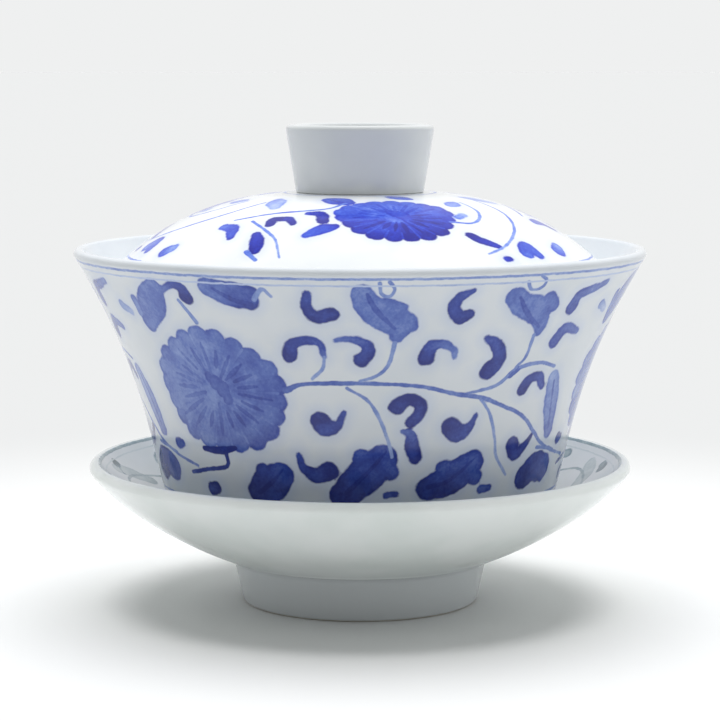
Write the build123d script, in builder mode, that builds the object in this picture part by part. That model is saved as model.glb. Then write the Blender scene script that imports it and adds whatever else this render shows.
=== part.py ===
"""Gaiwan: a lidded porcelain tea bowl on its saucer.

Units are millimetres, +Z is up. The origin is on the table, at the centre of
the saucer's foot ring, and every piece is turned about the Z axis.

Three loose pieces stand on each other: the saucer, the bowl and the lid. The
saucer's tall foot ring and the lid's hollow knob are thrown on their own and
luted on, so each of them is a piece that meets its neighbour on a flat land.
"""
import os
from math import cos, radians, sin

from build123d import *

# ---- bowl -----------------------------------------------------------------
bowl_height = 51.5              # its own foot to its rim
bowl_rim_radius = 50.0
bowl_rim_slope = 59.0           # degrees up from level, outside
bowl_waist_height = 23.5        # where the side starts to flare
bowl_waist_lean = 3.7           # how much wider it is there than at the belly
bowl_belly_height = 8.5         # where the side turns in under the bowl
bowl_belly_radius = 34.5
bowl_belly_slope = 75.0
bowl_wall = 2.2
bowl_lip_wall = 1.8
bowl_floor = 3.4

bowl_foot_radius = 20.0
bowl_foot_height = 3.0
bowl_foot_wall = 2.6
bowl_foot_taper = 0.4
bowl_foot_hollow = 2.2          # recess under the floor
bowl_foot_slope = 12.0          # of the underside, just outside the foot
bowl_foot_round = 0.6

# ---- saucer ---------------------------------------------------------------
saucer_height = 25.2            # table to rim
saucer_reach = 13.2             # its rim beyond the bowl's belly
saucer_rim_wall = 2.2
saucer_rim_slope = 50.0
saucer_belly_drop = 6.6         # its underside below the edge of the bowl's belly
saucer_floor = 3.4              # under the well, where the bowl stands

well_depth = 0.7                # sunk seat for the bowl's foot
well_clearance = 1.0            # all round the bowl's foot

saucer_foot_height = 7.8        # table to luted joint
saucer_foot_reach = 2.2         # the joint's edge beyond the well
saucer_foot_slope = 20.0        # of the dish, just outside the joint
saucer_foot_flare = 1.5         # how much the ring widens below its cove
saucer_foot_cove = 0.9          # small hollow curve under the dish
saucer_foot_cove_radius = 1.2
saucer_foot_wall = 3.2
saucer_foot_round = 0.7

# ---- lid ------------------------------------------------------------------
lid_seat_depth = 7.0            # its edge below the bowl's rim
lid_seat_clearance = 0.3        # between its edge and the bowl's flare
lid_height = 16.5               # its edge to the flat land under the knob
lid_edge_wall = 2.0
lid_edge_slope = 50.0           # degrees down from level
lid_shoulder_width = 9.9        # where the dome falls away, in from the edge
lid_shoulder_drop = 6.7         # below the land
lid_top_wall = 2.8
lid_land_slope = 2.0
lid_land_width = 0.4            # the flat land beyond the knob

knob_base_radius = 11.2
knob_top_radius = 13.1
knob_height = 11.8
knob_wall = 2.0
knob_round = 0.8

# ---- limits, and places that follow ---------------------------------------
full_round = 0.45               # the most of a wall that an edge's round takes
same_level = 0.01               # edges this near to a level lie at it
seat_search = 1e-9              # where the search for the lid's seat ends

well_radius = bowl_foot_radius + well_clearance
well_level = saucer_foot_height + saucer_floor
dish_level = well_level + well_depth
dish_foot_radius = well_radius + saucer_foot_reach
ring_radius = dish_foot_radius - saucer_foot_cove
ring_base_radius = ring_radius - saucer_foot_flare
saucer_rim_radius = bowl_belly_radius + saucer_reach

bowl_level = well_level
bowl_under_level = bowl_level + bowl_foot_hollow
bowl_floor_level = bowl_under_level + bowl_floor
bowl_rim_level = bowl_level + bowl_height


def slope(degrees):
    """Direction of a line that runs outwards at this angle up from level."""
    return Vector(cos(radians(degrees)), sin(radians(degrees)))


def above(direction):
    """Square to an outline that runs outwards, on its upper side."""
    return Vector(-direction.Y, direction.X)


def round_edge(radius, level, wall, degrees):
    """Full round that ends a wall running outwards at this angle.

    Its under point, its tip and its upper point. The edge reaches out to the
    radius, and up to the level, or down to it where the wall runs down.
    """
    half = wall / 2
    rise = half if degrees > 0 else -half
    centre = Vector(radius - half, level - rise)
    along = slope(degrees)
    return (
        centre - above(along) * half,
        centre + along * half,
        centre + above(along) * half,
    )


def wall_points(outline, start_wall, end_wall, steps):
    """Points a wall's thickness off an outline, without the first one."""
    points = []
    for i in range(1, steps + 1):
        t = i / steps
        wall = start_wall + (end_wall - start_wall) * t
        points.append(outline @ t + above(outline % t) * wall)
    return points


def edges_at(piece, level):
    """The round edges of a piece that lie at one level."""
    return piece.edges().filter_by(GeomType.CIRCLE).filter_by_position(
        Axis.Z, level - same_level, level + same_level
    )


# ---- bowl: one thrown piece, flared, with a low trimmed foot --------------
with BuildPart() as bowl:
    with BuildSketch(Plane.XZ):
        with BuildLine():
            rim_under, rim_tip, rim_upper = round_edge(
                bowl_rim_radius, bowl_rim_level, bowl_lip_wall, bowl_rim_slope
            )
            foot_edge = Vector(bowl_foot_radius, bowl_level + bowl_foot_height)
            belly_edge = Vector(bowl_belly_radius, bowl_level + bowl_belly_height)
            waist_edge = Vector(
                bowl_belly_radius + bowl_waist_lean, bowl_level + bowl_waist_height
            )
            Spline(
                foot_edge,
                belly_edge,
                tangents=[slope(bowl_foot_slope), slope(bowl_belly_slope)],
            )
            side = Spline(
                belly_edge,
                waist_edge,
                rim_under,
                tangents=[slope(bowl_belly_slope), slope(bowl_rim_slope)],
            )
            inside = Spline(
                belly_edge + above(slope(bowl_belly_slope)) * bowl_wall,
                *wall_points(side, bowl_wall, bowl_lip_wall, steps=4),
                tangents=[slope(bowl_belly_slope), slope(bowl_rim_slope)],
            )
            Spline(
                (bowl_foot_radius, bowl_floor_level),
                inside @ 0,
                tangents=[slope(0), slope(bowl_belly_slope)],
            )
            ThreePointArc(rim_under, rim_tip, rim_upper)
            Polyline(
                foot_edge,
                (bowl_foot_radius - bowl_foot_taper, bowl_level),
                (bowl_foot_radius - bowl_foot_wall, bowl_level),
                (bowl_foot_radius - bowl_foot_wall - bowl_foot_taper, bowl_under_level),
                (0, bowl_under_level),
                (0, bowl_floor_level),
                (bowl_foot_radius, bowl_floor_level),
            )
        make_face()
    revolve(axis=Axis.Z)
    fillet(
        edges_at(bowl, bowl_level),
        min(bowl_foot_round, full_round * (bowl_foot_wall - bowl_foot_taper)),
    )
bowl.part.label = "bowl"

# ---- saucer foot ring: tall and tapered, with a cove under the dish -------
with BuildPart() as saucer_foot_ring:
    with BuildSketch(Plane.XZ):
        with BuildLine():
            cove_start = (ring_radius, saucer_foot_height - saucer_foot_cove)
            cove_end = (dish_foot_radius, saucer_foot_height)
            RadiusArc(cove_start, cove_end, saucer_foot_cove_radius)
            Polyline(
                cove_end,
                (ring_radius - saucer_foot_wall, saucer_foot_height),
                (ring_base_radius - saucer_foot_wall, 0),
                (ring_base_radius, 0),
                cove_start,
            )
        make_face()
    revolve(axis=Axis.Z)
    fillet(
        edges_at(saucer_foot_ring, 0),
        min(saucer_foot_round, full_round * saucer_foot_wall),
    )
saucer_foot_ring.part.label = "saucer_foot_ring"

# ---- saucer dish: an open curve with a well for the bowl's foot -----------
with BuildPart() as saucer_dish:
    with BuildSketch(Plane.XZ):
        with BuildLine():
            rim_under, rim_tip, rim_upper = round_edge(
                saucer_rim_radius, saucer_height, saucer_rim_wall, saucer_rim_slope
            )
            dish_edge = Vector(dish_foot_radius, saucer_foot_height)
            under = Spline(
                dish_edge,
                belly_edge - Vector(0, saucer_belly_drop),
                rim_under,
                tangents=[slope(saucer_foot_slope), slope(saucer_rim_slope)],
            )
            foot_wall = (dish_level - saucer_foot_height) / cos(radians(saucer_foot_slope))
            dish_start = dish_edge + above(slope(saucer_foot_slope)) * foot_wall
            Spline(
                dish_start,
                *wall_points(under, foot_wall, saucer_rim_wall, steps=3),
                tangents=[slope(saucer_foot_slope), slope(saucer_rim_slope)],
            )
            ThreePointArc(rim_under, rim_tip, rim_upper)
            Polyline(
                dish_start,
                (well_radius, dish_level),
                (well_radius, well_level),
                (0, well_level),
                (0, saucer_foot_height),
                dish_edge,
            )
        make_face()
    revolve(axis=Axis.Z)
saucer_dish.part.label = "saucer_dish"

# ---- lid: it hangs by its edge inside the bowl's flare --------------------
seat_level = bowl_rim_level - lid_seat_depth


def lid_radius():
    """Outer radius of a lid whose edge sits this deep inside the flare."""
    half = lid_edge_wall / 2
    off = half + lid_seat_clearance
    low = 0.0
    high = 1.0
    while high - low > seat_search:
        t = (low + high) / 2
        centre = inside @ t + above(inside % t) * off
        if centre.Y < seat_level + half:
            low = t
        else:
            high = t
    return centre.X + half


lid_edge_radius = lid_radius()
lid_level = seat_level + lid_height

with BuildPart() as lid_dome:
    with BuildSketch(Plane.XZ):
        with BuildLine():
            edge_under, edge_tip, edge_upper = round_edge(
                lid_edge_radius, seat_level, lid_edge_wall, -lid_edge_slope
            )
            land_edge = Vector(knob_base_radius + lid_land_width, lid_level)
            dome = Spline(
                land_edge,
                (lid_edge_radius - lid_shoulder_width, lid_level - lid_shoulder_drop),
                edge_upper,
                tangents=[slope(-lid_land_slope), slope(-lid_edge_slope)],
            )
            Spline(
                (0, lid_level - lid_top_wall),
                *wall_points(dome, -lid_top_wall, -lid_edge_wall, steps=4),
                tangents=[slope(0), slope(-lid_edge_slope)],
            )
            ThreePointArc(edge_under, edge_tip, edge_upper)
            Polyline(
                land_edge,
                (0, lid_level),
                (0, lid_level - lid_top_wall),
            )
        make_face()
    revolve(axis=Axis.Z)
lid_dome.part.label = "lid_dome"

# ---- lid knob: a hollow ring that flares towards the fingers --------------
with BuildPart() as lid_knob_ring:
    with BuildSketch(Plane.XZ):
        with BuildLine():
            Polyline(
                (knob_base_radius, lid_level),
                (knob_top_radius, lid_level + knob_height),
                (knob_top_radius - knob_wall, lid_level + knob_height),
                (knob_base_radius - knob_wall, lid_level),
                close=True,
            )
        make_face()
    revolve(axis=Axis.Z)
    fillet(
        edges_at(lid_knob_ring, lid_level + knob_height),
        min(knob_round, full_round * knob_wall),
    )
lid_knob_ring.part.label = "lid_knob_ring"

# ---- files, and the sizes that follow -------------------------------------
os.makedirs("parts", exist_ok=True)
for piece in (saucer_foot_ring, saucer_dish, bowl, lid_dome, lid_knob_ring):
    export_step(piece.part, f"parts/{piece.part.label}.step")

print(f"lid edge radius {lid_edge_radius:.2f}, lid land at {lid_level:.2f}")
print(f"overall height {lid_level + knob_height:.2f}")
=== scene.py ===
"""Looks of a blue-and-white gaiwan: glazed porcelain, hand painted in cobalt under the glaze.

Every piece of the set is thrown on a wheel, so each one is turned here from the outline of its
own CAD node. The painting is a list of brush strokes. Each stroke is laid on the turned surface
as a distance from its edge, which the material draws as a soft, slightly uneven stroke.
"""
from math import cos, degrees, hypot, pi, radians, sin

import bpy
import numpy as np
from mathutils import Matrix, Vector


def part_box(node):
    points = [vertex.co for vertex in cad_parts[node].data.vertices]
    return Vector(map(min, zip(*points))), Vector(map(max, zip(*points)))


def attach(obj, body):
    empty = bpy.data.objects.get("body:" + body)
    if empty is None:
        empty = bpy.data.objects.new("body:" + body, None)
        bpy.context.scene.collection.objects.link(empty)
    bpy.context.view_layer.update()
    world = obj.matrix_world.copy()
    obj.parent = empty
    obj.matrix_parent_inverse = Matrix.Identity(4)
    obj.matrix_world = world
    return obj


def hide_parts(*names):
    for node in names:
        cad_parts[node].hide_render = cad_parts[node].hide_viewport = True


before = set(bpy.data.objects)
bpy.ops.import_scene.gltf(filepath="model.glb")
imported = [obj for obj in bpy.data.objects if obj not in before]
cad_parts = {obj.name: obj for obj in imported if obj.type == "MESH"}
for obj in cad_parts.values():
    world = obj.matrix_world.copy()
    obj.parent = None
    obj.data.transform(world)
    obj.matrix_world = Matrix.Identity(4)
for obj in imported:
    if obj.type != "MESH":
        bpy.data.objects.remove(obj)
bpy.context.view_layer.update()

MM = 0.001

# ---- throwing ---------------------------------------------------------------
COLUMNS = 140                   # steps round the wheel, 2.2 mm each at the bowl's rim
ROW_SPACING = 2.25              # mm along the outline, at the most
FINE_STEP = 0.05                # mm, how finely the outline's run is measured
MERGE = 0.0005                  # mm, points nearer than this are one point
SEAM = 0.001                    # mm, how near the CAD outline's points lie to its plane
SHORT_STEP = 0.2                # mm, steps of a small round, of which every other is left out
CORNER = 30.0                   # degrees, a sharper turn than this is a corner
GLAZE_ROUND = 0.3               # mm, glaze rounds each corner off
STRAIGHT = 3.0                  # a step this many times its neighbour sets the way between them

# ---- painting ---------------------------------------------------------------
SECTORS = 3                     # times that the motifs repeat round each piece
REPEAT_SHADE = 0.05             # how much lighter or darker a stroke may be in its repeats
SHADE_SEED = 7
STROKE_STEPS = 6                # straight steps between two points of a stroke
FAR = 2.0                       # mm, distances from a stroke's edge are kept within this
LEAST_RADIUS = 5.0              # mm, no stroke lies nearer to the axis
WASH_BLEED = 0.45               # mm, how much cobalt spreads a broad stroke in the glaze
LINE_BLEED = 0.1                # mm, and a fine line
ANY_SPLITS = (1.1, 0.5)         # mm, faces this near to any stroke's edge are split, in turn
LINE_SPLITS = (0.25,)           # mm, and then faces this near to a fine line's edge
PALE, SOFT, MID, DEEP, INK = 0.10, 0.30, 0.50, 0.72, 0.93
FAINT = 0.0                     # the palest of all, for the thinnest borders
HEART_STEP = 0.6                # mm, height of a dab in a flower's heart

# Where the painted stretch of each piece starts: its radius and height in mm.
BOWL_START = (34.4, 19.5)
BOWL_RIM_GAP = 1.0              # mm, plain porcelain above the bowl's painting
SAUCER_START = (22, 12)
SAUCER_RIM_GAP = (1.6, 0.1)     # mm in and down from the saucer's rim
LID_START = 11.6                # mm from the axis, under the knob
LID_RIM_GAP = (0.3, 1.6)        # mm in and up from the lid's edge

# Lines ringed round each piece on the wheel: level, width in mm, tone.
BOWL_BORDERS = [(61.0, 0.5, SOFT), (59.9, 0.35, FAINT), (21.5, 0.5, SOFT), (20.5, 0.9, MID)]
LID_BORDERS = [(40.6, 0.4, SOFT), (13.2, 0.5, SOFT)]
SAUCER_BORDERS = [(45.9, 0.7, MID), (44.8, 0.3, FAINT), (24.5, 0.4, SOFT)]

# ---- maps -------------------------------------------------------------------
# Where each part of a piece lies on its map: left, right, low, high.
PAINTED_FRONT = (0.01, 0.99, 0.01, 0.36)
PAINTED_BACK = (0.01, 0.99, 0.37, 0.72)
BOWL_INSIDE = (0.01, 0.99, 0.73, 0.90)
BOWL_UNDERSIDE = (0.01, 0.99, 0.91, 0.99)
DISC = (0.01, 0.77, 0.01, 0.77)
DISC_UNDERSIDE = (0.01, 0.99, 0.79, 0.99)

# ---- glaze ------------------------------------------------------------------
# How uneven the painting is: size of a patch in mm, noise detail, and how far it goes from one
# extreme to the other, in mm for the edges of strokes, and in tone for mottle and grain.
UNEVEN = {
    "line": (1.5, 2.0, 0.35),
    "wash": (1.7, 2.0, 0.7),
    "mottle": (3.0, 3.0, 0.55),
    "grain": (0.5, 2.0, 0.25),
}
WASH_BLUR = 0.2                 # mm, half the width of a broad stroke's soft edge
LINE_BLUR = 0.12                # mm, and of a fine line's
BORDER_BLUR = 0.1               # mm, and of a border's
GATHER_FROM = 0.9               # mm, cobalt gathers this near to a stroke's edge
GATHER_TO = 0.1                 # mm, and most where it is this near
GATHERED = 0.1                  # how much darker it is there
POOL = 14.0                     # mm, size of the places where the glaze is thinner
PLAIN_POOL = 9.0                # mm, and on the plain pieces
POOL_CONTRAST = (0.35, 0.65)    # noise levels between which the glaze goes from thick to thin
RIPPLE = 2.2                    # mm, size of the ripples in the glaze
GRIT = 0.3                      # mm, grain of the bare foot, coarser than real so that it shows
RELIEF = 0.02                   # mm, height of both
PORCELAIN_IOR = 1.5
BARE_FROM, BARE_TO = 0.35, 0.15  # mm above the table, where a foot has lost its glaze

# ---- studio -----------------------------------------------------------------
FRONT, BACK = 0.20, 0.80        # brightness of the surroundings
TOWARDS_BACK = (0.2, 0.8, -0.5)  # their brightness grows this way
GLOW_FROM, GLOW_TO = -0.95, 0.1
SUN = 3.0
SUN_SIZE = radians(50)
SUN_TURN = (radians(-8), 0, 0)
FLOOR_RADIUS = 60               # m
PAPER_NEAR, PAPER_FAR = 60.0, 220.0  # mm, between these the paper turns greyer
CAMERA_PLACE = (0, -0.433, 0.0937)  # m
CAMERA_TILT = 6.74              # degrees down from level
LENS = 123.45                   # mm
SENSOR = 36                     # mm
CLIP = 0.01                     # m


# ---- outlines ---------------------------------------------------------------
def only(piece):
    """Select this piece alone."""
    bpy.ops.object.select_all(action="DESELECT")
    piece.select_set(True)
    bpy.context.view_layer.objects.active = piece


def select_vertices(piece, chosen):
    """Select these vertices, from object mode, and go to edit mode."""
    bpy.context.tool_settings.mesh_select_mode = (True, False, False)
    piece.data.edges.foreach_set("select", np.zeros(len(piece.data.edges), bool))
    piece.data.polygons.foreach_set("select", np.zeros(len(piece.data.polygons), bool))
    piece.data.vertices.foreach_set("select", chosen)
    bpy.ops.object.mode_set(mode="EDIT")


def places(piece):
    """The piece's vertices in mm."""
    flat = np.empty(len(piece.data.vertices) * 3)
    piece.data.vertices.foreach_get("co", flat)
    return flat.reshape(-1, 3) / MM


def walk(edges, start):
    """Vertices of a chain of edges, in order."""
    beside = {}
    for a, b in edges:
        beside.setdefault(a, []).append(b)
        beside.setdefault(b, []).append(a)
    ends = [v for v in beside if len(beside[v]) == 1]
    chain = [ends[0] if ends else start]
    seen = set(chain)
    while True:
        following = [v for v in beside[chain[-1]] if v not in seen]
        if not following:
            return chain, not ends
        chain.append(following[0])
        seen.add(following[0])


def section(node):
    """Outline of a CAD node on one side of the axis: (radius, height) in mm, anticlockwise.

    The second result says whether it is a closed ring clear of the axis.
    """
    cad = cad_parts[node]
    piece = cad.copy()
    piece.data = cad.data.copy()
    bpy.context.scene.collection.objects.link(piece)
    only(piece)
    bpy.ops.object.mode_set(mode="EDIT")
    bpy.ops.mesh.select_all(action="SELECT")
    bpy.ops.mesh.remove_doubles(threshold=MERGE * MM)
    bpy.ops.object.mode_set(mode="OBJECT")
    place = places(piece)
    select_vertices(piece, (abs(place[:, 1]) > SEAM) | (place[:, 0] < -SEAM))
    bpy.ops.mesh.delete(type="VERT")
    bpy.ops.object.mode_set(mode="OBJECT")
    place = places(piece)
    chain, ring = walk([tuple(e.vertices) for e in piece.data.edges], 0)
    outline = place[chain][:, [0, 2]]
    bpy.data.objects.remove(piece)
    if not ring:
        ends = [(0, outline[0][1]), (0, outline[-1][1])]
        outline = np.vstack([ends[0], outline, ends[1]])
        steps = np.hypot(*np.diff(outline, axis=0).T)
        outline = outline[np.append(True, steps > MERGE)]
    r, z = outline.T
    area = np.sum(r * np.roll(z, -1) - np.roll(r, -1) * z)
    return (outline if area > 0 else outline[::-1]), ring


def turn_angle(before, after):
    """Degrees between two directions."""
    cross = before[0] * after[1] - before[1] * after[0]
    return degrees(np.arctan2(cross, before @ after))


def eased(outline, ring):
    """The outline with fewer steps in its small rounds, and glaze round its corners."""
    fewer = [outline[0]]
    for i in range(1, len(outline) - 1):
        small = hypot(*(outline[i + 1] - outline[i])) < SHORT_STEP
        if not (small and hypot(*(outline[i] - fewer[-1])) < SHORT_STEP):
            fewer.append(outline[i])
    fewer.append(outline[-1])
    if ring:
        fewer.append(outline[0])
    result = [fewer[0]]
    for before, here, after in zip(fewer, fewer[1:], fewer[2:]):
        into = (here - before) / hypot(*(here - before))
        out = (after - here) / hypot(*(after - here))
        turn = turn_angle(into, out)
        if abs(turn) < CORNER:
            result.append(here)
            continue
        cut = GLAZE_ROUND * np.tan(radians(abs(turn)) / 2)
        cut = min(cut, hypot(*(here - before)) / 3, hypot(*(after - here)) / 3)
        for t in (0, 0.25, 0.5, 0.75, 1):
            start = here - into * cut
            end = here + out * cut
            result.append(start * (1 - t) ** 2 + here * 2 * t * (1 - t) + end * t ** 2)
    result.append(fewer[-1])
    return np.array(result)


class Outline:
    """A smooth curve through an outline's points, measured along its run in mm."""

    def __init__(self, node):
        points, self.ring = section(node)
        points = eased(points, self.ring)
        steps = np.diff(points, axis=0)
        lengths = np.hypot(*steps.T)
        ways = steps / lengths[:, None]
        tangents = [ways[0]]
        for i in range(len(ways) - 1):
            a, b = lengths[i], lengths[i + 1]
            if a > STRAIGHT * b:
                tangent = ways[i]
            elif b > STRAIGHT * a:
                tangent = ways[i + 1]
            else:
                tangent = ways[i] * b + ways[i + 1] * a
            tangents.append(tangent / hypot(*tangent))
        tangents.append(ways[-1])
        fine, rows = [], [0]
        for i, length in enumerate(lengths):
            count = max(1, int(np.ceil(length / ROW_SPACING)))
            parts = count * max(1, int(np.ceil(length / count / FINE_STEP)))
            t = np.linspace(0, 1, parts + 1)[:-1, None]
            fine.append(
                points[i] * (2 * t ** 3 - 3 * t ** 2 + 1)
                + tangents[i] * length * (t ** 3 - 2 * t ** 2 + t)
                + points[i + 1] * (3 * t ** 2 - 2 * t ** 3)
                + tangents[i + 1] * length * (t ** 3 - t ** 2)
            )
            rows += [rows[-1] + parts // count * (k + 1) for k in range(count)]
        fine = np.vstack(fine + [points[-1:]])
        self.run = np.append(0, np.cumsum(np.hypot(*np.diff(fine, axis=0).T)))
        self.radius, self.height = fine.T
        self.row_runs = self.run[rows]
        along = np.gradient(fine, self.run, axis=0)
        self.normal = np.stack([along[:, 1], -along[:, 0]], 1)

    def at(self, run):
        """Radius and height at a distance along the outline."""
        return np.interp(run, self.run, self.radius), np.interp(run, self.run, self.height)

    def facing(self, run):
        """Outward direction there, as its radial and upward parts."""
        out, up = self.normal.T
        return np.interp(run, self.run, out), np.interp(run, self.run, up)

    def find(self, radius, height):
        """Distance along the outline of the point that lies nearest to a place."""
        gaps = np.hypot(self.radius - radius, self.height - height)
        return self.run[np.argmin(gaps)]


# ---- turning ----------------------------------------------------------------
def turned(name, outline):
    """A piece spun from its outline, with the outline's run kept as a point attribute."""
    runs = outline.row_runs
    radius, height = outline.at(runs)
    bpy.ops.object.select_all(action="DESELECT")
    bpy.ops.mesh.primitive_circle_add(vertices=len(runs), radius=MM, fill_type="NOTHING")
    piece = bpy.context.active_object
    piece.name = piece.data.name = name
    wire = np.stack([radius, np.zeros(len(runs)), height], 1) * MM
    piece.data.vertices.foreach_set("co", wire.ravel())
    piece.data.uv_layers.remove(piece.data.uv_layers[0])
    closing = np.zeros(len(runs), bool)
    closing[[0, -1]] = True
    select_vertices(piece, closing)
    bpy.ops.mesh.delete(type="EDGE")
    bpy.ops.mesh.select_all(action="SELECT")
    bpy.ops.mesh.spin(steps=COLUMNS, angle=2 * pi, center=(0, 0, 0), axis=(0, 0, 1))
    bpy.ops.mesh.select_all(action="SELECT")
    bpy.ops.mesh.remove_doubles(threshold=MERGE * MM)
    bpy.ops.mesh.normals_make_consistent(inside=False)
    bpy.ops.object.mode_set(mode="OBJECT")
    place = places(piece)
    here = np.hypot(place[:, 0], place[:, 1])
    found = np.empty(len(place))
    for i in range(len(place)):
        found[i] = runs[np.argmin((radius - here[i]) ** 2 + (height - place[i, 2]) ** 2)]
    keep(piece, "run", found)
    return piece


def keep(piece, name, values):
    """Keep a number for each vertex under a name."""
    attributes = piece.data.attributes
    attribute = attributes.get(name) or attributes.new(name, "FLOAT", "POINT")
    attribute.data.foreach_set("value", np.asarray(values, np.float32))


def kept(piece, name):
    """The numbers kept under a name."""
    values = np.empty(len(piece.data.vertices), np.float32)
    piece.data.attributes[name].data.foreach_get("value", values)
    return values.astype(float)


def refine(piece, outline, near, reaches):
    """Split the faces that lie near a stroke's edge, and put the new points on the outline."""
    for reach in reaches:
        close = near(piece) < reach
        corners = np.empty(len(piece.data.loops), int)
        piece.data.loops.foreach_get("vertex_index", corners)
        starts = np.empty(len(piece.data.polygons), int)
        piece.data.polygons.foreach_get("loop_start", starts)
        chosen = np.maximum.reduceat(close[corners], starts)
        bpy.context.tool_settings.mesh_select_mode = (False, False, True)
        piece.data.vertices.foreach_set("select", np.zeros(len(piece.data.vertices), bool))
        piece.data.edges.foreach_set("select", np.zeros(len(piece.data.edges), bool))
        piece.data.polygons.foreach_set("select", chosen)
        only(piece)
        bpy.ops.object.mode_set(mode="EDIT")
        bpy.ops.mesh.subdivide(number_cuts=1, ngon=False, quadcorner="INNERVERT")
        bpy.ops.object.mode_set(mode="OBJECT")
        place = places(piece)
        angle = np.arctan2(place[:, 1], place[:, 0])
        radius, height = outline.at(kept(piece, "run"))
        place = np.stack([radius * np.cos(angle), radius * np.sin(angle), height], 1) * MM
        piece.data.vertices.foreach_set("co", place.ravel())


def smooth(piece, outline):
    """Shade a turned piece by its outline's own curve."""
    only(piece)
    bpy.ops.object.shade_smooth()
    place = places(piece)
    angle = np.arctan2(place[:, 1], place[:, 0])
    out, up = outline.facing(kept(piece, "run"))
    normals = np.stack([out * np.cos(angle), out * np.sin(angle), up], 1)
    normals /= np.linalg.norm(normals, axis=1)[:, None]
    piece.data.normals_split_custom_set_from_vertices(normals)


def lay_flat(piece, regions):
    """Lay the piece out flat on its map, with most of the room for what is painted.

    Each region is a test of (run, angle) at a face's middle, its box on the map as (left, right,
    low, high), and the run at its centre if it lies there as a disc.
    """
    mesh = piece.data
    corners = np.empty(len(mesh.loops), int)
    mesh.loops.foreach_get("vertex_index", corners)
    starts = np.empty(len(mesh.polygons), int)
    mesh.polygons.foreach_get("loop_start", starts)
    counts = np.diff(np.append(starts, len(corners)))
    place = places(piece)[corners]
    run = kept(piece, "run")[corners]
    middle = np.repeat(np.add.reduceat(place, starts) / counts[:, None], counts, axis=0)
    middle_run = np.repeat(np.add.reduceat(run, starts) / counts, counts)
    way = np.arctan2(middle[:, 1], middle[:, 0])
    angle = way + (np.arctan2(place[:, 1], place[:, 0]) - way + pi) % (2 * pi) - pi
    angle = np.where(np.hypot(place[:, 0], place[:, 1]) < SEAM, way, angle)
    flat = np.zeros((len(corners), 2))
    for test, (left, right, low, high), centre in regions:
        here = test(middle_run, way)
        if centre is None:
            across, along = angle[here], run[here]
        else:
            across = abs(run[here] - centre) * np.cos(angle[here])
            along = abs(run[here] - centre) * np.sin(angle[here])
        flat[here, 0] = np.interp(across, (across.min(), across.max()), (left, right))
        flat[here, 1] = np.interp(along, (along.min(), along.max()), (low, high))
    layer = mesh.uv_layers.new(name="OFBake", do_init=False)
    layer.uv.foreach_set("vector", flat.astype(np.float32).ravel())


# ---- strokes ----------------------------------------------------------------
class Canvas:
    """The painted stretch of an outline, read as angle and level.

    The level is a height on the bowl, and a radius on the lid and in the saucer. Angle 0 is at
    the front, and grows to the right.
    """

    def __init__(self, outline, start, end, level):
        self.start, self.end = sorted((outline.find(*start), outline.find(*end)))
        inside = (outline.run >= self.start) & (outline.run <= self.end)
        self.runs = outline.run[inside]
        self.radii = outline.radius[inside]
        self.levels = {"height": outline.height, "radius": outline.radius}[level][inside]
        self.order = np.argsort(self.levels)

    def run_at(self, level):
        """Distance along the outline of a level."""
        return np.interp(level, self.levels[self.order], self.runs[self.order])

    def radius_at(self, run):
        """Radius at a distance along the outline."""
        return np.interp(run, self.runs, self.radii)


def drawn(points):
    """A smooth line through a stroke's points, as short straight steps."""
    points = np.array(points, float)
    if len(points) == 1:
        return np.vstack([points, points])
    ends = np.vstack([2 * points[0] - points[1], points, 2 * points[-1] - points[-2]])
    line = []
    for a, b, c, d in zip(ends, ends[1:], ends[2:], ends[3:]):
        for t in np.linspace(0, 1, STROKE_STEPS, endpoint=False):
            line.append(
                0.5 * (2 * b + (c - a) * t + (2 * a - 5 * b + 4 * c - d) * t ** 2
                       + (3 * b - a - 3 * c + d) * t ** 3)
            )
    return np.array(line + [points[-1]])


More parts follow.
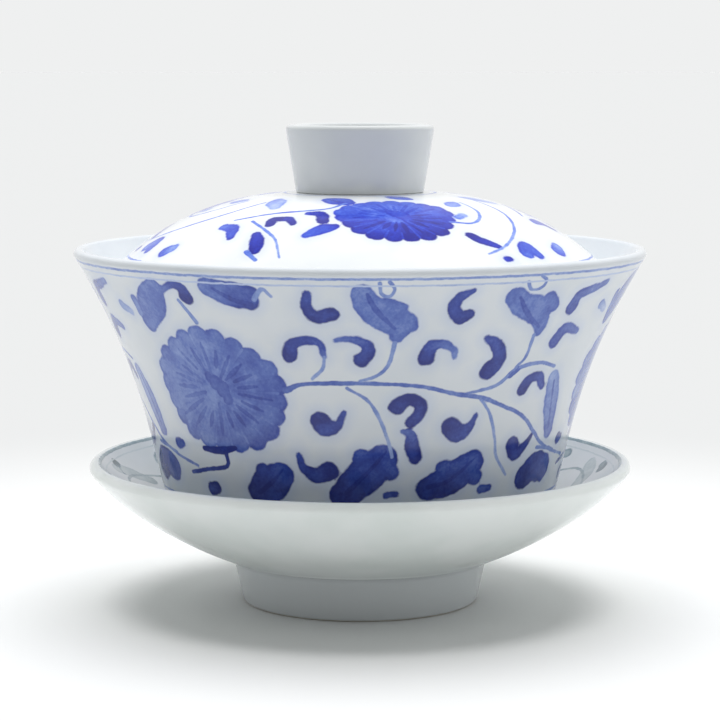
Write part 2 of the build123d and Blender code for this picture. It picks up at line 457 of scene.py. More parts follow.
def laid(piece, canvas, strokes, bleed):
    """Distance inside the nearest stroke's edge in mm, and the stroke's tone there."""
    place = places(piece)
    run = kept(piece, "run")
    angle = np.degrees(np.arctan2(place[:, 0], -place[:, 1]))
    radius = np.hypot(place[:, 0], place[:, 1])
    edge = np.full(len(run), -FAR)
    tone = np.full(len(run), MID)
    on_canvas = (run >= canvas.start) & (run <= canvas.end)
    shade = np.random.default_rng(SHADE_SEED)
    for sector in range(SECTORS):
        for first, last, points in strokes:
            line = drawn(points)
            turn = 360 / SECTORS * sector
            shift = REPEAT_SHADE * shade.uniform(-1, 1) * (sector > 0)
            line_runs = canvas.run_at(line[:, 1])
            middle = line[:, 0].mean() + turn
            away = (angle - middle + 180) % 360 - 180
            reach_run = line[:, 2].max() / 2 + FAR
            widest = degrees(reach_run / max(LEAST_RADIUS, canvas.radius_at(line_runs).min()))
            half = abs(line[:, 0] - line[:, 0].mean()).max() + widest
            near = on_canvas & (abs(away) < half)
            near &= (run > line_runs.min() - reach_run) & (run < line_runs.max() + reach_run)
            near = np.flatnonzero(near)
            if not len(near):
                continue
            x = np.radians(away[near]) * radius[near]
            scale = np.radians(1) * radius[near]
            best = np.full(len(near), -FAR)
            best_tone = np.zeros(len(near))
            for k in range(len(line) - 1):
                ax = (line[k, 0] + turn - middle) * scale
                bx = (line[k + 1, 0] + turn - middle) * scale
                ay, by = line_runs[k], line_runs[k + 1]
                dx, dy = bx - ax, by - ay
                t = ((x - ax) * dx + (run[near] - ay) * dy) / (dx ** 2 + dy ** 2 + 1e-9)
                t = np.clip(t, 0, 1)
                gap = np.hypot(x - ax - t * dx, run[near] - ay - t * dy)
                width = line[k, 2] + (line[k + 1, 2] - line[k, 2]) * t
                inside = (width + bleed) / 2 - gap
                better = inside > best
                share = (k + t) / (len(line) - 1)
                best[better] = inside[better]
                best_tone[better] = (first + (last - first) * share + shift)[better]
            better = best > edge[near]
            edge[near[better]] = best[better]
            tone[near[better]] = best_tone[better]
    return np.clip(edge, -FAR, FAR), tone


def paint(piece, outline, canvas, washes, lines):
    """Lay the broad strokes and the fine lines on a turned piece."""
    def near_line(part):
        return abs(laid(part, canvas, lines, LINE_BLEED)[0])

    def near_any(part):
        return np.minimum(abs(laid(part, canvas, washes, WASH_BLEED)[0]), near_line(part))

    refine(piece, outline, near_any, ANY_SPLITS)
    refine(piece, outline, near_line, LINE_SPLITS)
    for name, strokes, bleed in (("wash", washes, WASH_BLEED), ("line", lines, LINE_BLEED)):
        edge, tone = laid(piece, canvas, strokes, bleed)
        keep(piece, name + "_edge", edge)
        keep(piece, name + "_tone", tone)


# The dark dabs in a flower's heart: aside and above its centre, as shares of the flower's half
# sizes, and width in mm.
HEART = ((-0.08, 0.22, 1.4), (0.0, 0.14, 2.2), (0.1, 0.04, 2.6), (0.14, -0.1, 1.8))


def flower(canvas, angle, level, across, along, petals, lean, tone, shade):
    """A round flower seen from the front: petals, brushed rays and a dark heart.

    across and along are its half sizes in mm. lean is the direction, in degrees round the
    flower from its right side, in which its petals are darkest, and shade is by how much.
    """
    washes, lines = [], []
    hand = np.random.default_rng(petals)
    centre = canvas.run_at(level)
    tip = pi * (across + along) / 2 / petals    # half a petal's width at the flower's edge

    def spot(way, out, width, inset=0.0):
        run = centre + (along * out - inset) * sin(way)
        aside = (across * out - inset) * cos(way)
        here = float(np.interp(run, canvas.runs, canvas.levels))
        return (angle + degrees(aside / canvas.radius_at(run)), here, width)

    heart = spot(0, 0, 0.5 * across)
    washes.append((tone, tone, [heart]))
    for k in range(petals):
        way = 2 * pi * (k + 0.5) / petals
        dark = 0.5 + 0.5 * cos(way - radians(lean))
        reach = 1 + 0.03 * sin(5 * way)
        end = tone + 0.02 + shade * dark + hand.uniform(-0.05, 0.05)
        washes.append((tone + shade * (dark - 0.5) * 0.4, end, [
            spot(way, 0.1, 0.4 * tip), spot(way, 0.6, 1.3 * tip), spot(way, reach, 2 * tip, tip),
        ]))
        ray = tone + 0.6 * shade * dark + hand.uniform(0.0, 0.1)
        near, far = hand.uniform(0.2, 0.4), hand.uniform(0.6, 0.85)
        lines.append((ray, end + 0.02, [
            spot(way, near, 0.4),
            spot(way, (near + far) / 2, hand.uniform(0.5, 0.9)),
            spot(way, far, 0.3),
        ]))
        gap = way + pi / petals
        faint = tone - 0.1 + 0.7 * shade * dark + hand.uniform(-0.06, 0.04)
        lines.append((tone, faint, [spot(gap, hand.uniform(0.4, 0.7), 0.15), spot(gap, 0.88, 0.4)]))
    for aside, above, width in HEART:
        run = centre + along * above
        here = float(np.interp(run, canvas.runs, canvas.levels))
        place = angle + degrees(across * aside / canvas.radius_at(run))
        dab = [(place, here, width), (place, here - HEART_STEP, width)]
        lines.append((tone + 0.13, tone + 0.13, dab))
    return washes, lines


# Each stroke: tone at its start, tone at its end, and its points (angle, level, width in mm).
BOWL_WASHES = [
    # leaves and curled strokes under the rim
    (MID, MID, [(-43.8, 58.4, 3.4), (-46.6, 56, 6.0), (-49.6, 53.4, 4.4), (-50.6, 51.8, 2.4)]),
    (INK, MID, [(-36, 57.2, 2.3), (-36.4, 58.7, 1.7), (-38.7, 59.3, 1.1), (-42, 58, 0.6)]),
    (MID, DEEP, [(-30, 59.2, 3.2), (-26, 58.2, 4.4), (-21.8, 57.3, 3.4)]),
    (DEEP, INK, [(-10, 58.6, 0.9), (-10.3, 56.4, 1.5), (-8.6, 54.7, 1.9), (-5.6, 55.2, 2.2)]),
    (MID, MID, [(0.4, 58.6, 3.4), (1.8, 56.6, 4.2), (5, 54.8, 5.2), (8, 53.8, 4.4), (7.6, 51.6, 2.2)]),
    (DEEP, INK, [(21.8, 58.8, 0.6), (19.2, 57.8, 1.5), (18.6, 55.8, 1.9), (20.2, 54.4, 2.0),
                 (22, 54.9, 1.6)]),
    (MID, MID, [(31.4, 57.6, 3.2), (34, 56, 4.0), (37.4, 55.2, 4.6), (40.4, 53, 3.0), (41, 51.2, 1.4)]),
    (MID, 0.56, [(40.4, 57, 2.0), (42.4, 55.4, 2.2)]),
    (0.56, MID, [(5, 57, 1.8), (7.8, 56.2, 2.2)]),
    (0.56, MID, [(9.6, 54.4, 2.2), (10.2, 53.2, 2.0)]),
    (MID, DEEP, [(-24.8, 59.4, 1.8), (-20.8, 58.6, 2.0)]),
    (MID, SOFT, [(-52.4, 56, 1.4), (-52, 53.6, 1.6)]),
    (DEEP, MID, [(48.6, 54.8, 2.4), (49.4, 57, 1.8), (53, 57.6, 1.4), (58, 58.6, 0.9)]),
    (DEEP, MID, [(47.4, 49.2, 2.4), (49.6, 51.2, 1.9), (55, 50.4, 0.9)]),
    (SOFT, PALE, [(61, 54.6, 1.6), (64, 53.6, 1.0)]),
    # curled strokes along the vine
    (INK, MID, [(-15.2, 48.2, 2.3), (-14.2, 50.1, 1.6), (-11, 50.8, 1.2), (-8.4, 50.2, 0.9),
                (-7.6, 48, 0.4)]),
    (MID, INK, [(-5.2, 50.8, 0.4), (-2, 51.1, 0.8), (1, 50.3, 1.5), (1.7, 48.8, 1.9), (0.3, 47.6, 2.3)]),
    (INK, SOFT, [(14.3, 47.8, 2.6), (15, 49.5, 2.0), (17.5, 50, 1.3), (20.2, 49, 0.8), (20.8, 47.6, 0.4)]),
    (DEEP, INK, [(27.6, 50.6, 0.9), (30.4, 49.4, 2.0), (32, 47, 2.3), (29.8, 45, 2.9)]),
    (INK, DEEP, [(41.6, 41.3, 2.1), (43, 42.8, 1.7), (46, 43.2, 1.4), (48.4, 41.4, 1.1)]),
    (DEEP, DEEP, [(-55, 31, 1.8), (-53, 31.2, 0.9)]),
    (SOFT, MID, [(52.2, 42.6, 2.4), (54.6, 38.4, 3.8), (57.4, 33, 2.4)]),
    # curled strokes below the vine
    (INK, DEEP, [(-9.6, 37.2, 2.9), (-8.2, 36.1, 2.8), (-5.4, 36.4, 1.3), (-3.7, 38.6, 0.5)]),
    (INK, INK, [(8.6, 39.6, 2.5), (11, 40.8, 1.9), (14, 40, 1.8), (14.2, 38.4, 1.7), (12.2, 36.8, 1.7)]),
    (MID, INK, [(10.4, 35.4, 0.4), (12.4, 34.8, 1.2), (13, 32.6, 2.1), (14, 30.8, 1.9)]),
    (INK, DEEP, [(22.4, 35.8, 3.0), (24.6, 34.7, 3.0), (27.4, 35.4, 1.3), (29, 37.4, 0.5)]),
    (INK, INK, [(42.4, 31.7, 2.6), (44, 30, 2.2), (47, 30.9, 1.3), (49.6, 33, 0.6)]),
    (DEEP, INK, [(-15.6, 31.4, 0.5), (-14.4, 29, 1.2), (-11, 27.8, 2.4), (-8, 28.6, 2.9)]),
    (INK, INK, [(-43.6, 24, 2.2), (-42, 24.2, 1.8)]),
    # broad leaves low on the side
    (INK, DEEP, [(-27, 24.6, 4.6), (-24, 26, 5.8), (-20.6, 27.6, 4.2)]),
    (DEEP, DEEP, [(-25.6, 28, 2.6)]),
    (INK, DEEP, [(-4, 24.6, 4.6), (1.6, 28, 5.8), (5.6, 30.6, 4.8)]),
    (DEEP, MID, [(0.4, 31, 2.6)]),
    (DEEP, DEEP, [(7.6, 28.4, 2.6)]),
    (INK, DEEP, [(18, 25.4, 3.8), (24, 26.8, 5.4), (29.8, 29.2, 4.4)]),
    (DEEP, DEEP, [(22, 28.8, 2.6)]),
    (DEEP, DEEP, [(31.4, 26.8, 2.6)]),
    (INK, DEEP, [(50, 25.6, 4.4), (54, 27, 5.0), (58.6, 26.4, 4.8)]),
    (DEEP, DEEP, [(7, 24.5, 0.9), (9.4, 24.6, 0.8)]),
    (DEEP, DEEP, [(34, 24.5, 1.2), (36.6, 24.6, 1.0)]),
]
BOWL_LINES = [
    # the vine, from one flower's side to the next flower's stem
    (MID, SOFT, [(-17, 42.2, 1.1), (-13, 43.3, 0.7), (-5, 43.6, 0.7), (5, 43.5, 0.6), (14, 42.9, 0.6),
                 (22, 41.5, 0.7), (30, 40.4, 0.7), (36, 38.8, 0.6), (42, 37.2, 0.6), (46, 35.6, 0.6),
                 (50, 33.4, 0.6), (55, 31, 0.6), (62, 29.2, 0.5), (72, 27.6, 0.5)]),
    (SOFT, SOFT, [(24, 41.2, 0.4), (33, 42.4, 0.6), (38, 45, 0.8), (45, 45.6, 0.6), (51, 44.6, 0.5)]),
    (MID, MID, [(36.4, 44, 1.2), (38.4, 45, 1.0)]),
    (SOFT, PALE, [(-3, 42.8, 0.4), (2, 40.5, 0.5), (5, 37, 0.5), (7, 33.5, 0.5), (8, 31, 0.4)]),
    (SOFT, PALE, [(29, 40.5, 0.4), (33, 37.5, 0.5), (36, 33, 0.5), (37.4, 30, 0.5), (42, 26.5, 0.4)]),
    (SOFT, PALE, [(-7.6, 48, 0.5), (-8.2, 46, 0.5), (-10.6, 44.3, 0.5)]),
    (SOFT, SOFT, [(7.2, 50.4, 0.7), (6.3, 47, 0.6), (4, 45, 0.5), (0, 44, 0.5)]),
    (SOFT, SOFT, [(39.8, 50.6, 0.7), (39.6, 47, 0.6), (37.4, 45.2, 0.5)]),
    (SOFT, SOFT, [(-38.4, 56.6, 0.6), (-35.6, 53, 0.8)]),
    (SOFT, PALE, [(-20.6, 57.4, 0.9), (-18.6, 59.2, 0.7), (-17, 58, 0.5)]),
    # rings that hang from the border
    (SOFT, SOFT, [(3.6, 60.4, 0.6), (4, 58.6, 0.5), (5.6, 58.2, 0.5), (6.4, 59.4, 0.5), (5.4, 60.6, 0.6)]),
    (SOFT, SOFT, [(33.2, 60, 0.6), (34.6, 58.6, 0.5), (37, 58.8, 0.5), (37.6, 60, 0.5), (36, 60.8, 0.5)]),
    # veins of the leaves
    (0.62, 0.56, [(1.3, 58.6, 0.5), (3.2, 55.8, 0.9), (7, 52.8, 0.4)]),
    (0.62, 0.56, [(32.6, 57.4, 0.5), (36, 54.4, 0.9), (40.4, 52, 0.4)]),
    (0.6, DEEP, [(-29, 59, 0.4), (-25, 57.2, 0.9), (-21.4, 56.6, 0.8)]),
    (INK, DEEP, [(-27.4, 24.4, 0.8), (-23.6, 26.2, 0.6), (-20, 28.6, 0.3)]),
    (INK, DEEP, [(-3.4, 25, 0.8), (2, 28.4, 0.6), (6.6, 32, 0.3)]),
    (INK, DEEP, [(18, 25.6, 0.8), (24, 26.6, 0.6), (31, 30.2, 0.3)]),
    (MID, MID, [(53, 42, 0.4), (57, 33.6, 0.5)]),
    # the flower's calyx and stem
    (INK, INK, [(-44, 30.9, 0.9), (-38.5, 30.9, 1.4), (-33.4, 31.6, 0.9)]),
    (INK, DEEP, [(-36.5, 30.6, 0.8), (-37, 28.3, 0.7), (-44, 27.3, 0.7), (-51, 26.3, 0.6)]),
    (SOFT, SOFT, [(-67, 30.4, 0.5), (-62, 30, 0.6), (-57, 29.2, 0.5)]),
]
LID_WASHES = [
    (MID, DEEP, [(-17, 17.4, 2.6), (-12, 18.2, 4.2), (-7, 19.6, 2.8)]),
    (DEEP, INK, [(-19.6, 25.4, 1.0), (-14.6, 25.6, 1.7), (-12.4, 28.2, 1.7)]),
    (INK, INK, [(-30, 29.8, 1.5), (-30.4, 28.2, 1.5), (-25, 27.8, 1.2), (-22, 29.4, 0.8)]),
    (MID, DEEP, [(-15.4, 32.6, 1.4), (-11.6, 30.9, 2.7), (-8, 30, 1.4)]),
    (MID, DEEP, [(-46.6, 31.2, 1.5), (-42, 31.6, 2.1), (-39, 34, 1.1)]),
    (DEEP, INK, [(-31.4, 32.8, 1.2), (-29, 34.8, 2.3), (-27.8, 36.8, 1.5)]),
    (MID, SOFT, [(-59, 38.2, 2.6), (-57, 37.4, 2.0)]),
    (SOFT, PALE, [(-48, 18.6, 1.2), (-43, 20.8, 3.2), (-37.6, 23.2, 1.6)]),
    (INK, DEEP, [(33.2, 33.2, 1.7), (35.6, 34.8, 1.8), (39.2, 36.2, 0.9)]),
    (MID, MID, [(46.6, 37.8, 2.6), (49, 36.6, 2.6), (50.4, 38.4, 1.8)]),
    (DEEP, DEEP, [(38.4, 38.8, 1.1), (39.4, 38.8, 1.0)]),
    (MID, MID, [(19.6, 14.8, 1.2), (24, 15.9, 3.0), (29, 17.2, 1.2)]),
    (SOFT, SOFT, [(42.6, 22.4, 1.0), (46, 21.8, 2.4), (49.6, 21, 1.0)]),
    (SOFT, PALE, [(36, 27.6, 1.0), (40, 26.8, 1.2)]),
]
LID_LINES = [
    (SOFT, SOFT, [(-30, 37, 0.9), (-26, 38.6, 0.6)]),
    (SOFT, SOFT, [(-7, 20, 0.6), (-13, 23, 0.5), (-24, 24.6, 0.5), (-34, 26, 0.5), (-46, 29, 0.5)]),
    (SOFT, PALE, [(-38, 29, 0.5), (-30, 31.4, 0.5), (-24, 34, 0.4), (-20, 38, 0.3)]),
    (PALE, SOFT, [(34, 37.6, 0.3), (42, 36, 0.4), (54, 32, 0.5), (64, 27, 0.5), (70, 21, 0.4)]),
    (DEEP, DEEP, [(-15.6, 17.8, 0.6), (-8.6, 19.4, 0.5)]),
    (SOFT, PALE, [(31, 29, 0.5), (40, 29.6, 0.5), (50, 26, 0.5), (54, 21, 0.4)]),
]
SAUCER_WASHES = [
    (DEEP, MID, [(22.4, 44.2, 2.0), (24.2, 43, 2.4)]),
    (DEEP, MID, [(-24.4, 43.6, 2.2), (-22.4, 44, 1.6)]),
    (SOFT, PALE, [(-24, 38.6, 2.4), (-20, 41.4, 3.4), (-15, 43.4, 2.2)]),
    (MID, SOFT, [(-2, 43.6, 2.0), (2, 42.4, 1.4), (4, 39.8, 0.8)]),
    (SOFT, PALE, [(16, 39, 2.2), (21, 42, 3.2), (26, 43.6, 2.0)]),
    (MID, SOFT, [(38, 43.6, 1.9), (42, 42.2, 1.3), (44, 39.6, 0.8)]),
    (SOFT, PALE, [(56, 38.8, 2.2), (60, 41.6, 3.4), (65, 43.4, 2.2)]),
    (MID, SOFT, [(78, 43.6, 1.9), (81, 42, 1.4), (83, 39.4, 0.8)]),
]
SAUCER_LINES = [
    (SOFT, SOFT, [(-34, 37, 0.5), (-24, 40, 0.5), (-12, 41.6, 0.5), (2, 38, 0.5), (14, 40, 0.5),
                  (26, 41.4, 0.5), (40, 38, 0.5), (54, 40, 0.5), (68, 41.4, 0.5), (86, 37, 0.5)]),
]


# ---- materials --------------------------------------------------------------
def colour(code):
    """A linear colour from an sRGB hex value."""
    parts = [int(code[i:i + 2], 16) / 255 for i in (1, 3, 5)]
    return [p / 12.92 if p <= 0.04045 else ((p + 0.055) / 1.055) ** 2.4 for p in parts] + [1.0]


def add(tree, kind, inputs=None, **settings):
    """A node of this kind with its settings. Each input is set, or linked to a socket or node."""
    made = tree.nodes.new(kind)
    for name, value in settings.items():
        setattr(made, name, value)
    for socket, value in (inputs or {}).items():
        if isinstance(value, bpy.types.Node):
            value = next(output for output in value.outputs if output.enabled)
        if isinstance(value, bpy.types.NodeSocket):
            tree.links.new(value, made.inputs[socket])
        else:
            made.inputs[socket].default_value = value
    return made


def blank_material(name):
    """A new material, its empty tree, and the place on the piece that its patterns read."""
    material = bpy.data.materials.new(name)
    material.use_nodes = True
    tree = material.node_tree
    tree.nodes.clear()
    return material, tree, add(tree, "ShaderNodeTexCoord").outputs["Object"]


def brushed(tree, surface, cover, tone, stops):
    """The surface with cobalt of this tone over it where cover is 1."""
    blue = add(tree, "ShaderNodeValToRGB", {"Fac": tone})
    while len(blue.color_ramp.elements) < len(stops):
        blue.color_ramp.elements.new(0.5)
    for element, (place, code) in zip(blue.color_ramp.elements, stops):
        element.position = place
        element.color = colour(code)
    return add(tree, "ShaderNodeMix", {0: cover, 6: surface, 7: blue}, data_type="RGBA")


def painted_porcelain(name, tones, borders):
    """Porcelain painted in cobalt oxide and dipped in clear glaze.

    The eye sees soft-edged brush strokes under a clear wet shine. Cobalt gathers at the edge of
    each stroke and mottles inside it, so its blue is never even, and it tints the glaze around.
    borders are the lines ringed round the piece on the wheel: (run, width in mm, tone).
    """
    material, tree, place = blank_material(name)

    uneven = {}
    for use, (size, detail, reach) in UNEVEN.items():
        noise = add(tree, "ShaderNodeTexNoise", {
            "Vector": place, "Scale": 1 / (size * MM), "Detail": detail,
        })
        uneven[use] = add(tree, "ShaderNodeMath", {0: noise, 1: reach, 2: -reach / 2},
                          operation="MULTIPLY_ADD")
    mottle = add(tree, "ShaderNodeMath", {0: uneven["mottle"], 1: uneven["grain"]})

    # The glaze runs thinner in places.
    pools = add(tree, "ShaderNodeTexNoise", {
        "Vector": place, "Scale": 1 / (POOL * MM), "Detail": 2.0,
    })
    thin = add(tree, "ShaderNodeMapRange", {
        "Value": pools, "From Min": POOL_CONTRAST[0], "From Max": POOL_CONTRAST[1],
    }, interpolation_type="SMOOTHSTEP")
    surface = add(tree, "ShaderNodeMix", {
        0: thin, 6: colour(tones["glaze"]), 7: colour(tones["thin_glaze"]),
    }, data_type="RGBA")

    # Cobalt tints the glaze for 2 mm round a broad stroke, and on the bowl a little everywhere.
    edge = add(tree, "ShaderNodeAttribute", attribute_name="wash_edge").outputs["Fac"]
    haze = add(tree, "ShaderNodeMapRange", {
        "Value": edge, "From Min": -FAR, "From Max": 0.0,
        "To Min": tones["haze"][0], "To Max": tones["haze"][1],
    })
    surface = brushed(tree, surface, haze, FAINT, tones["stops"])

    for layer, blur in (("wash", WASH_BLUR), ("line", LINE_BLUR)):
        edge = add(tree, "ShaderNodeAttribute", attribute_name=layer + "_edge").outputs["Fac"]
        tone = add(tree, "ShaderNodeAttribute", attribute_name=layer + "_tone").outputs["Fac"]
        edge = add(tree, "ShaderNodeMath", {0: edge, 1: uneven[layer]})
        cover = add(tree, "ShaderNodeMapRange", {
            "Value": edge, "From Min": -blur, "From Max": blur,
        }, interpolation_type="SMOOTHSTEP")
        gathered = add(tree, "ShaderNodeMapRange", {
            "Value": edge, "From Min": GATHER_FROM, "From Max": GATHER_TO, "To Max": GATHERED,
        }, interpolation_type="SMOOTHSTEP")
        tone = add(tree, "ShaderNodeMath", {0: tone, 1: mottle})
        tone = add(tree, "ShaderNodeMath", {0: tone, 1: gathered}, use_clamp=True)
        surface = brushed(tree, surface, cover, tone, tones["stops"])

    run = add(tree, "ShaderNodeAttribute", attribute_name="run").outputs["Fac"]
    for border, width, level in borders:
        off = add(tree, "ShaderNodeMath", {0: run, 1: border}, operation="SUBTRACT")
        off = add(tree, "ShaderNodeMath", {0: off, 1: uneven["line"]})
        off = add(tree, "ShaderNodeMath", {0: off}, operation="ABSOLUTE")
        cover = add(tree, "ShaderNodeMapRange", {
            "Value": off, "From Min": width / 2 + BORDER_BLUR, "From Max": width / 2 - BORDER_BLUR,
        }, interpolation_type="SMOOTHSTEP")
        tone = add(tree, "ShaderNodeMath", {0: mottle, 1: level}, use_clamp=True)
        surface = brushed(tree, surface, cover, tone, tones["stops"])

    ripple = add(tree, "ShaderNodeTexNoise", {
        "Vector": place, "Scale": 1 / (RIPPLE * MM), "Detail": 1.0,
    })
    bump = add(tree, "ShaderNodeBump", {
        "Height": ripple, "Strength": 0.12, "Distance": RELIEF * MM,
    })
    shader = add(tree, "ShaderNodeBsdfPrincipled", {
        "Base Color": surface, "Roughness": 0.10, "IOR": PORCELAIN_IOR, "Normal": bump,
    })
    add(tree, "ShaderNodeOutputMaterial", {"Surface": shader})
    return material


def plain_porcelain(name, glaze, thin_glaze):
    """Porcelain in clear glaze, bare where it stands on the table.

    The eye sees a cool white under a wet shine, and a dry, slightly warmer edge where the foot
    was wiped clean of glaze so that it wouldn't stick in the kiln. The glaze colours given for
    the knob and the foot are greyer than the rest of the set's glaze: painted shade.
    """
    material, tree, place = blank_material(name)
    height = add(tree, "ShaderNodeSeparateXYZ", {"Vector": place}).outputs["Z"]
    pools = add(tree, "ShaderNodeTexNoise", {"Vector": place, "Scale": 1 / (PLAIN_POOL * MM)})
    ripple = add(tree, "ShaderNodeTexNoise", {"Vector": place, "Scale": 1 / (RIPPLE * MM)})
    grit = add(tree, "ShaderNodeTexNoise", {"Vector": place, "Scale": 1 / (GRIT * MM)})
    bare = add(tree, "ShaderNodeMapRange", {
        "Value": height, "From Min": BARE_FROM * MM, "From Max": BARE_TO * MM,
    })
    surface = add(tree, "ShaderNodeMix", {0: pools, 6: colour(glaze), 7: colour(thin_glaze)},
                  data_type="RGBA")
    surface = add(tree, "ShaderNodeMix", {0: bare, 6: surface, 7: colour("#D9D3C8")},
                  data_type="RGBA")
    gloss = add(tree, "ShaderNodeMapRange", {"Value": bare, "To Min": 0.12, "To Max": 0.75})
    depth = add(tree, "ShaderNodeMix", {0: bare, 2: ripple, 3: grit}, data_type="FLOAT")
    bump = add(tree, "ShaderNodeBump", {
        "Height": depth, "Strength": 0.15, "Distance": RELIEF * MM,
    })
    shader = add(tree, "ShaderNodeBsdfPrincipled", {
        "Base Color": surface, "Roughness": gloss, "IOR": PORCELAIN_IOR, "Normal": bump,
    })
    add(tree, "ShaderNodeOutputMaterial", {"Surface": shader})
    return material


def matt_paper():
    """Matt backdrop paper, a little greyer far off, so that it meets the plain background."""
    material, tree, place = blank_material("matt_paper")
    away = add(tree, "ShaderNodeVectorMath", {0: place}, operation="LENGTH").outputs["Value"]
    far = add(tree, "ShaderNodeMapRange", {
        "Value": away, "From Min": PAPER_NEAR * MM, "From Max": PAPER_FAR * MM,
    }, interpolation_type="SMOOTHSTEP")
    surface = add(tree, "ShaderNodeMix", {
        0: far, 6: colour("#E2E3E3"), 7: colour("#C9CACA"),
    }, data_type="RGBA")
    shader = add(tree, "ShaderNodeBsdfPrincipled", {
        "Base Color": surface, "Roughness": 0.9, "Specular IOR Level": 0.0,
    })
    add(tree, "ShaderNodeOutputMaterial", {"Surface": shader})
    return material


# ---- the set ----------------------------------------------------------------
# Colours of each piece: its glaze, how much cobalt tints it (far from a stroke, beside one), and
# the blues that each tone stands for.
BOWL_TONES = {
    "glaze": "#E4E8E9",
    "thin_glaze": "#DEE3E5",
    "haze": (0.15, 0.5),
    "stops": [(0.0, "#BAC8E6"), (0.3, "#869CD3"), (0.52, "#5C74BE"), (0.75, "#364CA6"),
              (1.0, "#1E2A80")],
}
LID_TONES = {
    "glaze": "#F4F6F6",
    "thin_glaze": "#EDF1F3",
    "haze": (0.0, 0.3),
    "stops": [(0.0, "#AEC2F2"), (0.3, "#6C8BE4"), (0.52, "#3557D6"), (0.75, "#1630BE"),
              (1.0, "#080E92")],
}
SAUCER_TONES = {
    "glaze": "#EEF3F1",
    "thin_glaze": "#E6EDEA",
    "haze": (0.0, 0.0),
    "stops": [(0.0, "#DAE4E2"), (0.3, "#B9C8C9"), (0.52, "#8FA5AC"), (0.75, "#5F7A86"),
              (1.0, "#3C5560")],
}


def finish_piece(piece, outline, node, body, material):
    """Shade a piece, give it its finish and hang it on its body."""
    smooth(piece, outline)
    piece.data.materials.append(material)
    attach(piece, body)
    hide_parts(node)


def ringed(canvas, borders):
    """The borders, each with its level changed to the run there."""
    return [(canvas.run_at(level), width, tone) for level, width, tone in borders]


def disc_regions(outline):
    """A dish's upper side as a disc, and its underside as a strip beside it."""
    edge = outline.run[np.argmax(outline.radius)]
    return [
        (lambda run, way: run >= edge, DISC, outline.run[-1]),
        (lambda run, way: run < edge, DISC_UNDERSIDE, None),
    ]


def bowl():
    """The painted bowl."""
    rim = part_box("bowl")[1] / MM
    outline = Outline("bowl")
    piece = turned("painted_bowl", outline)
    canvas = Canvas(outline, BOWL_START, (rim.x, rim.z - BOWL_RIM_GAP), "height")
    petals, veins = flower(canvas, -35.4, 41.6, 13.0, 11.3, petals=21, lean=-30, tone=0.43,
                           shade=0.18)
    paint(piece, outline, canvas, petals + BOWL_WASHES, veins + BOWL_LINES)

    def painted(run):
        return (run >= canvas.start) & (run <= canvas.end)

    lay_flat(piece, [
        (lambda run, way: painted(run) & (way < 0), PAINTED_FRONT, None),
        (lambda run, way: painted(run) & (way >= 0), PAINTED_BACK, None),
        (lambda run, way: run > canvas.end, BOWL_INSIDE, None),
        (lambda run, way: run < canvas.start, BOWL_UNDERSIDE, None),
    ])
    borders = ringed(canvas, BOWL_BORDERS)
    material = painted_porcelain("cobalt_painted_porcelain", BOWL_TONES, borders)
    finish_piece(piece, outline, "bowl", "bowl", material)


def lid():
    """The painted lid and its plain knob."""
    low, high = (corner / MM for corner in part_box("lid_dome"))
    outline = Outline("lid_dome")
    piece = turned("painted_lid", outline)
    inward, upward = LID_RIM_GAP
    canvas = Canvas(outline, (LID_START, high.z), (high.x - inward, low.z + upward), "radius")
    petals, veins = flower(canvas, 13.3, 26.8, 10.2, 8.4, petals=19, lean=-80, tone=0.48,
                           shade=0.42)
    paint(piece, outline, canvas, petals + LID_WASHES, veins + LID_LINES)
    lay_flat(piece, disc_regions(outline))
    borders = ringed(canvas, LID_BORDERS)
    material = painted_porcelain("cobalt_painted_porcelain_lid", LID_TONES, borders)
    finish_piece(piece, outline, "lid_dome", "lid", material)
    knob_outline = Outline("lid_knob_ring")
    knob = turned("lid_knob", knob_outline)
    # The knob's glaze is given greyer than the lid's, though both are one glaze: painted shade on its
    # upright sides.
    material = plain_porcelain("shaded_glazed_porcelain_knob", "#E4E7E7", "#D2D7D9")
    finish_piece(knob, knob_outline, "lid_knob_ring", "lid", material)


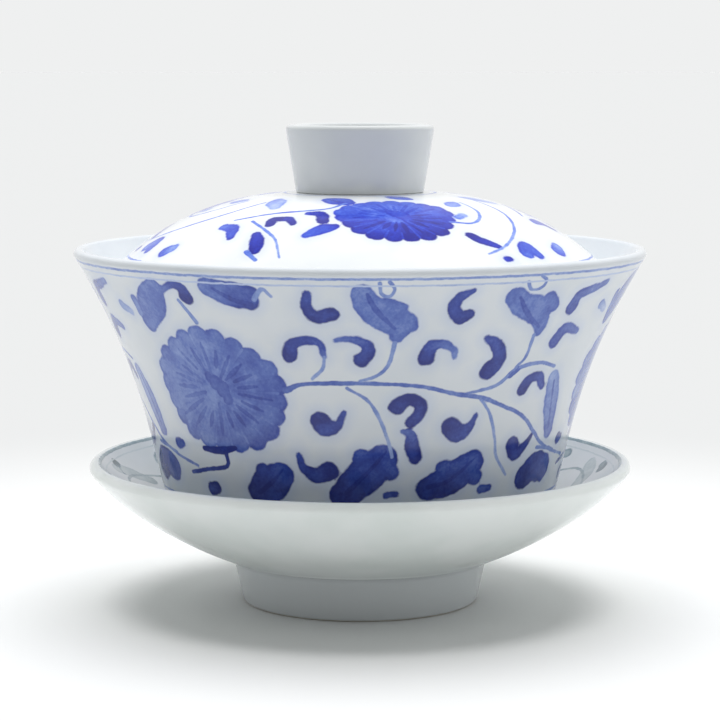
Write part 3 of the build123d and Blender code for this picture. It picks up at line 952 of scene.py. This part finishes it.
def saucer():
    """The saucer, painted inside, and its plain foot."""
    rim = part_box("saucer_dish")[1] / MM
    outline = Outline("saucer_dish")
    piece = turned("painted_saucer", outline)
    inward, downward = SAUCER_RIM_GAP
    canvas = Canvas(outline, SAUCER_START, (rim.x - inward, rim.z - downward), "radius")
    paint(piece, outline, canvas, SAUCER_WASHES, SAUCER_LINES)
    lay_flat(piece, disc_regions(outline))
    borders = ringed(canvas, SAUCER_BORDERS)
    material = painted_porcelain("cobalt_painted_porcelain_saucer", SAUCER_TONES, borders)
    finish_piece(piece, outline, "saucer_dish", "saucer", material)
    foot_outline = Outline("saucer_foot_ring")
    foot = turned("saucer_foot", foot_outline)
    # The foot's glaze is given greyer than the dish's, though both are one glaze: painted shade for the
    # foot under the saucer.
    material = plain_porcelain("shaded_glazed_porcelain_foot", "#CFD4D6", "#D2D7D9")
    finish_piece(foot, foot_outline, "saucer_foot_ring", "saucer", material)


# ---- studio -----------------------------------------------------------------
def studio_light():
    """Surroundings bright behind and at the sides and dim in front, and a soft sun overhead."""
    world = bpy.data.worlds.new("studio")
    bpy.context.scene.world = world
    world.use_nodes = True
    tree = world.node_tree
    tree.nodes.clear()
    way = add(tree, "ShaderNodeTexCoord").outputs["Generated"]
    towards_back = add(tree, "ShaderNodeVectorMath", {0: way, 1: TOWARDS_BACK},
                       operation="DOT_PRODUCT").outputs["Value"]
    glow = add(tree, "ShaderNodeMapRange", {
        "Value": towards_back, "From Min": GLOW_FROM, "From Max": GLOW_TO,
        "To Min": FRONT, "To Max": BACK,
    })
    lighting = add(tree, "ShaderNodeBackground", {"Color": colour("#FFFFFF"), "Strength": glow})
    plain = add(tree, "ShaderNodeBackground", {"Color": colour("#EFF0F0"), "Strength": 1.0})
    seen = add(tree, "ShaderNodeLightPath").outputs["Is Camera Ray"]
    both = add(tree, "ShaderNodeMixShader", {0: seen, 1: lighting, 2: plain})
    add(tree, "ShaderNodeOutputWorld", {"Surface": both})

    bpy.ops.object.light_add(type="SUN", location=(0, 0, 1), rotation=SUN_TURN)
    sun = bpy.context.active_object
    sun.name = "overhead"
    sun.data.energy = SUN
    sun.data.angle = SUN_SIZE
    sun.visible_glossy = False


def studio():
    """A pale floor, soft light, and the camera."""
    bpy.ops.object.select_all(action="DESELECT")
    bpy.ops.mesh.primitive_circle_add(radius=FLOOR_RADIUS, vertices=64, fill_type="NGON")
    floor = bpy.context.active_object
    floor.name = "floor"
    floor.data.materials.append(matt_paper())
    studio_light()
    turn = (radians(90 - CAMERA_TILT), 0, 0)
    bpy.ops.object.camera_add(location=CAMERA_PLACE, rotation=turn)
    camera = bpy.context.active_object
    camera.name = "camera"
    camera.data.lens = LENS
    camera.data.sensor_width = SENSOR
    camera.data.clip_start = CLIP
    bpy.context.scene.camera = camera
    bpy.context.scene.view_settings.view_transform = "Standard"


bowl()
lid()
saucer()
studio()
